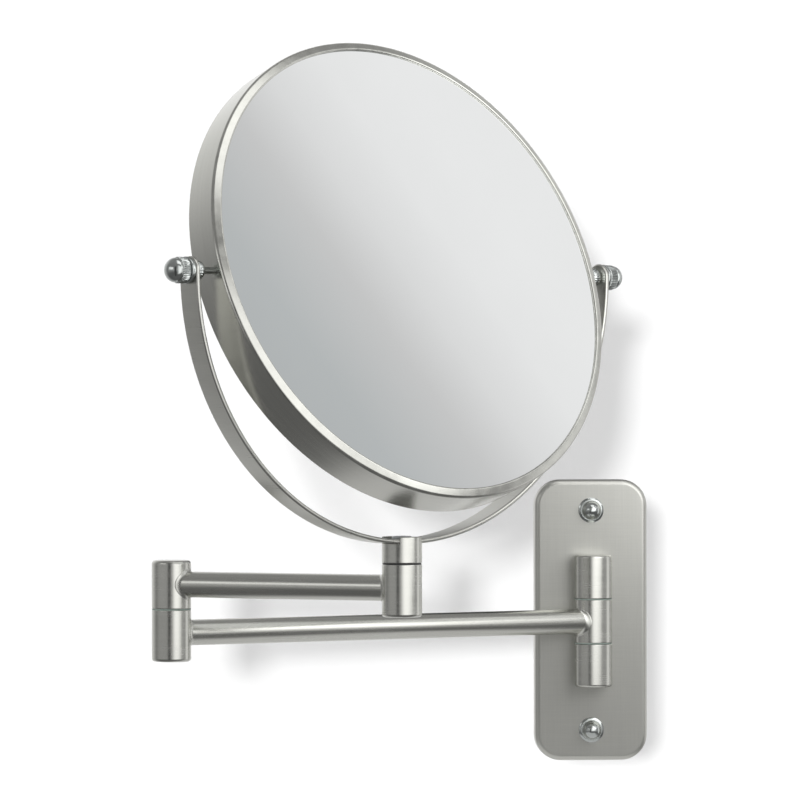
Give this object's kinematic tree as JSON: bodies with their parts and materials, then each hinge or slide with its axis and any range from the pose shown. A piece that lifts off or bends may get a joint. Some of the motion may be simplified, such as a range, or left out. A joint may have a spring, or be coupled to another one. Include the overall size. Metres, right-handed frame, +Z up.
{
  "type": "extendable wall mirror",
  "caption": "Round two-sided mirror that tilts in a half-round yoke on a folding, swinging arm with a wall plate.",
  "frame": {"origin": "middle of the wall plate's back face, on the wall surface", "axes": "+X right and +Z up as seen from the room; +Y points into the wall, so the arm stands out along -Y"},
  "size_m": [0.2327, 0.2452, 0.3255],
  "materials": {
    "satin_nickel_plate": "satin nickel, fine straight brushing",
    "satin_nickel": "satin nickel, turned and brushed",
    "satin_nickel_band": "satin nickel, brushed across the strip",
    "satin_nickel_rim": "satin nickel, polished lip",
    "chrome": "bright plated",
    "zinc_steel": "zinc plated",
    "nylon": "grey-green nylon",
    "black_nylon": "black nylon",
    "mirror_glass": "silvered glass",
    "fibre_board": "pressed fibre board",
    "black_plastic": "moulded",
    "brass": "turned"
  },
  "bodies": {
    "wall_mount": {"wall_plate": "satin_nickel_plate", "wall_bracket": "zinc_steel", "bracket_studs": "zinc_steel", "nut_washers": "chrome", "cap_nut_upper": "chrome", "cap_nut_lower": "chrome", "hinge_knuckle_upper": "satin_nickel", "hinge_knuckle_lower": "satin_nickel", "hinge_screws": "zinc_steel", "hinge_pin": "zinc_steel", "hinge_plug": "satin_nickel"},
    "lower_arm": {"lower_arm_tube": "satin_nickel", "hinge_knuckle_middle": "satin_nickel", "hinge_bush_upper": "nylon", "hinge_bush_lower": "nylon", "elbow_knuckle_lower": "satin_nickel", "elbow_bush": "nylon", "elbow_plug": "satin_nickel"},
    "upper_arm": {"upper_arm_tube": "satin_nickel", "elbow_knuckle_upper": "satin_nickel", "elbow_screw": "zinc_steel", "elbow_wave_washer": "zinc_steel", "swivel_knuckle": "satin_nickel", "swivel_bush": "black_nylon", "swivel_plug": "satin_nickel"},
    "yoke": {"yoke_stem": "satin_nickel", "yoke_band": "satin_nickel_band", "swivel_bolt": "zinc_steel", "swivel_nut": "zinc_steel", "swivel_wave_washer": "zinc_steel"},
    "mirror_head": {"mirror_rim": "satin_nickel_rim", "rear_bezel": "satin_nickel_rim", "front_glass": "mirror_glass", "front_backing": "fibre_board", "rear_glass": "mirror_glass", "spacer_ring": "black_plastic", "pivot_inserts": "brass", "pivot_stud_left": "chrome", "pivot_stud_right": "chrome", "pivot_collar_left": "chrome", "pivot_collar_right": "chrome", "pivot_washer_left": "chrome", "pivot_washer_right": "chrome"},
    "left_nut": {"pivot_nut_left": "chrome"},
    "right_nut": {"pivot_nut_right": "chrome"}
  },
  "joints": [
    {"name": "wall_swing", "type": "hinge", "parent": "wall_mount", "child": "lower_arm", "pos_m": [0, -0.0175, 0], "axis": [0, 0, 1], "range_deg": [-26, 154]},
    {"name": "elbow_swing", "type": "hinge", "parent": "lower_arm", "child": "upper_arm", "pos_m": [-0.19773, -0.11394, 0.0106], "axis": [0, 0, 1], "continuous": true},
    {"name": "yoke_swivel", "type": "hinge", "parent": "upper_arm", "child": "yoke", "pos_m": [-0.09885, -0.16652, 0.0322], "axis": [0, 0, 1], "continuous": true},
    {"name": "mirror_tilt", "type": "hinge", "parent": "yoke", "child": "mirror_head", "pos_m": [-0.09885, -0.16652, 0.1578], "axis": [0.8039, 0.5948, 0], "continuous": true},
    {"name": "left_nut_turn", "type": "hinge", "parent": "mirror_head", "child": "left_nut", "pos_m": [-0.19531, -0.2379, 0.1578], "axis": [-0.8039, -0.5948, 0], "range_deg": [0, 360]},
    {"name": "right_nut_turn", "type": "hinge", "parent": "mirror_head", "child": "right_nut", "pos_m": [-0.00238, -0.09514, 0.1578], "axis": [0.8039, 0.5948, 0], "range_deg": [0, 360]}
  ]
}
